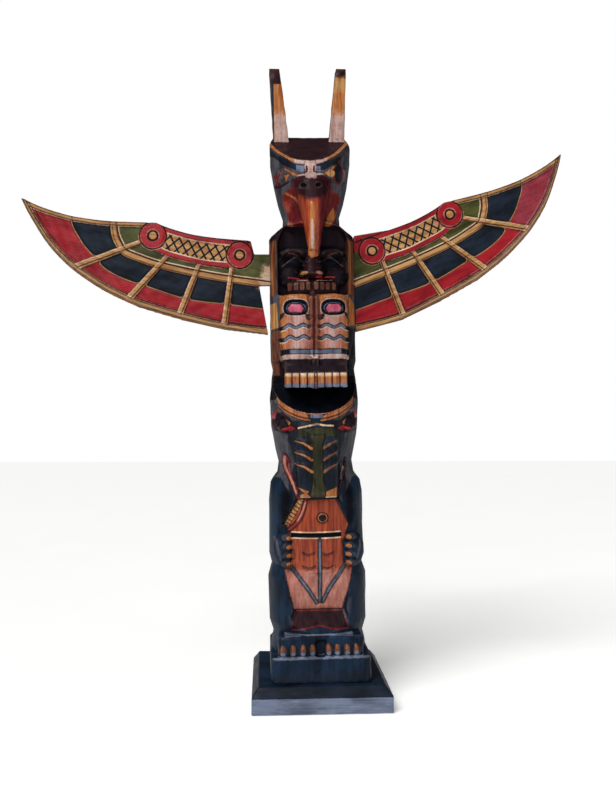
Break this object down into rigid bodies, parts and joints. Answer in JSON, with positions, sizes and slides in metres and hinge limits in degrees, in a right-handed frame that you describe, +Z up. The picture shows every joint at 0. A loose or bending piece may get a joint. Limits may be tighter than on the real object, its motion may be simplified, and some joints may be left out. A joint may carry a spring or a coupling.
{
  "type": "totem pole",
  "caption": "Carved and painted wooden totem pole with a winged, horned bird above a bear that holds a fish, standing upright on a square plinth board.",
  "frame": {"origin": "middle of the plinth's underside", "axes": "+Z up along the pole, +X towards the viewer's right when the faces are looked at, +Y to the back, so the faces look along -Y"},
  "size_m": [0.4378, 0.104, 0.5024],
  "materials": {
    "slate_paint": "hand-brushed slate-blue black gloss paint over sawn board, grain showing through",
    "carved_paint": "carved wood in orange stain, black, navy, maroon, olive and ochre paint under a glossy varnish",
    "wing_paint": "carved board in red, navy, olive and ochre paint, satin varnish, brown sawn edges"
  },
  "bodies": {
    "root": {"plinth": "slate_paint", "pole": "carved_paint", "wing_left": "wing_paint", "wing_right": "wing_paint"}
  },
  "joints": []
}
